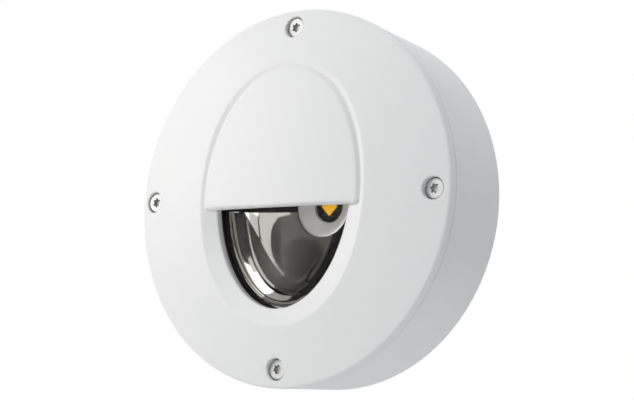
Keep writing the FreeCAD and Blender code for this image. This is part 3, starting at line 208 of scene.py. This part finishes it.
def turned_metal(name, colour, roughness, metallic, radian):
    """Metal turned about the light's own axis, and blasted dull where it is less than all metal.

    Its rings are a wave, and a radian of the wave is as long as asked.
    """
    material, tree, shader = new_material(name, colour, roughness, metallic)
    rings = tree.nodes.new("ShaderNodeTexWave")
    rings.wave_type = "RINGS"
    rings.rings_direction = "Y"
    rings.inputs["Scale"].default_value = 1 / (RING_RADIANS * radian * MM)
    rings.inputs["Distortion"].default_value = 0.4
    tree.links.new(place(tree), rings.inputs["Vector"])
    vary_colour(tree, shader, colour, darker(colour, share=0.93), noise(tree, size=4))
    relief(tree, shader, rings.outputs["Fac"], depth=0.002, edge=METAL_EDGE)
    return material


def mirror(name, colour):
    """Bright anodised reflector: nearly a mirror, with a faint drawn ripple."""
    material, tree, shader = new_material(name, colour, roughness=0.06, metallic=1.0)
    ripple = noise(tree, size=14, detail=1.0)
    roughen(tree, shader, ripple, low=0.04, high=0.09)
    vary_colour(tree, shader, colour, darker(colour, share=0.9), noise(tree, size=8))
    relief(tree, shader, ripple, depth=0.03)
    return material


def clear(name, colour, alpha):
    """Clear glass or silicone, thin enough that nothing behind it shifts."""
    material, tree, shader = new_material(name, colour, roughness=0.02)
    shader.inputs["Transmission Weight"].default_value = 1.0
    shader.inputs["IOR"].default_value = 1.45
    shader.inputs["Alpha"].default_value = alpha
    roughen(tree, shader, noise(tree, size=30), low=0.01, high=0.04)
    material.surface_render_method = "BLENDED"
    return material


def phosphor(name, colour, roughness, glow):
    """The light source's yellow layer, with a painted glow: it gives off a little light of its own
    colour, though the light source is off.
    """
    material = moulding(name, colour, roughness)
    shader = material.node_tree.nodes["Principled BSDF"]
    # Painted glow: emission that brightens the unlit layer
    shader.inputs["Emission Color"].default_value = (*colour, 1.0)
    shader.inputs["Emission Strength"].default_value = glow
    return material


def striped(name, colour, stripe, size=12, threshold=0.6):
    """A sleeve with stripes of a second colour, where a wave of a size rises past a threshold."""
    material, tree, shader = new_material(name, colour, roughness=0.45)
    wave = tree.nodes.new("ShaderNodeTexWave")
    wave.bands_direction = "DIAGONAL"
    wave.inputs["Scale"].default_value = 1 / (size * MM)
    tree.links.new(place(tree), wave.inputs["Vector"])
    ramp = tree.nodes.new("ShaderNodeValToRGB")
    ramp.color_ramp.interpolation = "CONSTANT"
    ramp.color_ramp.elements[0].color = (*colour, 1.0)
    ramp.color_ramp.elements[1].position = threshold
    ramp.color_ramp.elements[1].color = (*stripe, 1.0)
    tree.links.new(wave.outputs["Fac"], ramp.inputs["Fac"])
    tree.links.new(ramp.outputs["Color"], shader.inputs["Base Color"])
    roughen(tree, shader, noise(tree, size=2), low=0.4, high=0.5)
    return material


def lead_sleeve(name, colour):
    """A lead's plastic sleeve, in one colour."""
    return moulding(name, colour, roughness=0.4, edge=0.1)


# The finish of each material slot
FINISHES = {
    "housing_paint": (paint, {"edge": 0.8}),
    "cover_paint": (paint, {"edge": 1.6}),
    "seal_rubber": (rubber, {"colour": (0.012, 0.012, 0.012)}),
    "stainless": (sheet_metal, {"colour": (0.51, 0.515, 0.515), "roughness": 0.54}),
    "zinc_steel": (sheet_metal, {"colour": (0.62, 0.63, 0.64), "roughness": 0.34}),
    "window_glass": (clear, {"colour": (0.97, 0.985, 0.98), "alpha": 0.025}),
    "reflector_mirror": (mirror, {"colour": (0.54, 0.53, 0.49)}),
    "shroud_black": (
        moulding, {"colour": (0.008, 0.008, 0.008), "roughness": 0.6, "gloss": 0.15}),
    "thermal_pad": (rubber, {"colour": (0.30, 0.32, 0.36)}),
    "board_white": (moulding, {"colour": (0.74, 0.75, 0.72), "roughness": 0.3}),
    "solder": (sheet_metal, {"colour": (0.70, 0.71, 0.72), "roughness": 0.22}),
    "carrier_black": (moulding, {"colour": (0.02, 0.02, 0.02), "roughness": 0.25}),
    # The phosphor's glow is painted light: the layer emits though the light source is off
    "phosphor": (phosphor, {"colour": (0.84, 0.42, 0.02), "roughness": 0.4, "glow": 0.25}),
    "lens_clear": (clear, {"colour": (0.98, 0.98, 0.97), "alpha": 0.10}),
    "holder_metal": (
        turned_metal,
        {"colour": (0.48, 0.47, 0.455), "roughness": 0.56, "metallic": 0.3, "radian": 0.25}),
    "driver_shell": (moulding, {"colour": (0.76, 0.76, 0.74)}),
    "driver_board": (moulding, {"colour": (0.02, 0.14, 0.05), "roughness": 0.3}),
    "coil": (moulding, {"colour": (0.42, 0.28, 0.05), "roughness": 0.4}),
    "capacitor": (moulding, {"colour": (0.02, 0.025, 0.04), "roughness": 0.25}),
    "terminal_grey": (moulding, {"colour": (0.24, 0.26, 0.27)}),
    "button_orange": (moulding, {"colour": (0.75, 0.15, 0.01)}),
    "clamp_metal": (sheet_metal, {"colour": (0.62, 0.55, 0.42), "roughness": 0.3}),
    "earth_brass": (sheet_metal, {"colour": (0.62, 0.45, 0.16), "roughness": 0.28}),
    "lead_brown": (lead_sleeve, {"colour": (0.07, 0.025, 0.01)}),
    "lead_blue": (lead_sleeve, {"colour": (0.01, 0.06, 0.32)}),
    "lead_green": (striped, {"colour": (0.03, 0.22, 0.02), "stripe": (0.75, 0.62, 0.03)}),
    "lead_red": (lead_sleeve, {"colour": (0.38, 0.01, 0.01)}),
    "lead_black": (lead_sleeve, {"colour": (0.015, 0.015, 0.015)}),
}


def dress():
    """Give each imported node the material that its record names."""
    materials = {slot: make(slot, **values) for slot, (make, values) in FINISHES.items()}
    for row in frame["record"]["subparts"]:
        node = frame["nodes"][row["node"]]
        for entry in node.material_slots:
            entry.material = materials[row["material_slot"]]


# Studio


def make_camera():
    """The camera, at the photograph's place and angle."""
    data = bpy.data.cameras.new("camera")
    data.lens = CAMERA_LENS
    data.clip_start = CAMERA_NEAR
    camera = bpy.data.objects.new("camera", data)
    back = CAMERA_BACK.normalized()
    right = CAMERA_UP.cross(back).normalized()
    up = back.cross(right)
    turn = Matrix((right, up, back)).transposed()
    camera.matrix_world = Matrix.Translation(CAMERA_PLACE) @ turn.to_4x4()
    bpy.context.scene.collection.objects.link(camera)
    bpy.context.scene.camera = camera


def make_floor():
    """A plain pale floor some way below the light, which hangs on an unseen wall."""
    bpy.ops.mesh.primitive_plane_add(size=FLOOR_SIZE, location=(0, 0, FLOOR_HEIGHT))
    floor = bpy.context.object
    floor.name = "floor"
    material = new_material("floor", FLOOR_COLOUR, FLOOR_ROUGHNESS)[0]
    floor.data.materials.append(material)


def make_world():
    """White as a background and in gloss, and elsewhere a cool light, weaker from the right."""
    world = bpy.data.worlds.new("studio")
    bpy.context.scene.world = world
    world.use_nodes = True
    tree = world.node_tree
    light = tree.nodes["Background"]
    light.inputs["Color"].default_value = (*AMBIENT_COLOUR, 1.0)
    split = tree.nodes.new("ShaderNodeSeparateXYZ")
    fall = tree.nodes.new("ShaderNodeMapRange")
    fall.inputs["From Min"].default_value = -1.0
    fall.inputs["To Min"].default_value = AMBIENT_LEVEL * (1 + AMBIENT_FALL)
    fall.inputs["To Max"].default_value = AMBIENT_LEVEL * (1 - AMBIENT_FALL)
    tree.links.new(place(tree, "Generated"), split.inputs["Vector"])
    tree.links.new(split.outputs["X"], fall.inputs["Value"])
    tree.links.new(fall.outputs["Result"], light.inputs["Strength"])
    white = tree.nodes.new("ShaderNodeBackground")
    white.inputs["Color"].default_value = (*WHITE, 1.0)
    path = tree.nodes.new("ShaderNodeLightPath")
    seen = path.outputs["Is Camera Ray"]
    for name in ("Is Glossy Ray", "Is Transmission Ray"):
        either = tree.nodes.new("ShaderNodeMath")
        either.operation = "MAXIMUM"
        tree.links.new(seen, either.inputs[0])
        tree.links.new(path.outputs[name], either.inputs[1])
        seen = either.outputs["Value"]
    mix = tree.nodes.new("ShaderNodeMixShader")
    tree.links.new(seen, mix.inputs["Fac"])
    tree.links.new(light.outputs["Background"], mix.inputs[1])
    tree.links.new(white.outputs["Background"], mix.inputs[2])
    tree.links.new(mix.outputs["Shader"], tree.nodes["World Output"].inputs["Surface"])


def hang_lamp(name, data, location, direction):
    """Link a lamp into the scene, at a place and facing a direction."""
    lamp = bpy.data.objects.new(name, data)
    lamp.location = location
    lamp.rotation_euler = direction.to_track_quat("-Z", "Y").to_euler()
    bpy.context.scene.collection.objects.link(lamp)
    return lamp


def make_softbox(name, location, size, power, colour=WHITE):
    """A square lamp that faces the middle of the light's front."""
    data = bpy.data.lights.new(name, "AREA")
    data.shape = "SQUARE"
    data.size = size
    data.energy = power
    data.color = colour
    hang_lamp(name, data, location, LAMP_TARGET - location)


def make_inner_lamp(name, location, size, direction, brightness):
    """A small rectangular lamp inside the light, as bright as asked where a mirror shows it."""
    data = bpy.data.lights.new(name, "AREA")
    data.shape = "RECTANGLE"
    data.size, data.size_y = (length * MM for length in size)
    data.energy = brightness * math.pi * data.size * data.size_y
    return hang_lamp(name, data, Vector(location) * MM, Vector(direction))


dress()
make_camera()
make_floor()
make_world()
make_softbox("key", KEY_PLACE, KEY_SIZE, KEY_POWER, KEY_COLOUR)
make_softbox("top", TOP_PLACE, TOP_SIZE, TOP_POWER)
for lamp in MIRROR_LAMPS:
    make_inner_lamp(*lamp).visible_diffuse = False
make_inner_lamp(*SOURCE_LAMP).visible_glossy = False
bpy.context.scene.view_settings.view_transform = "Standard"
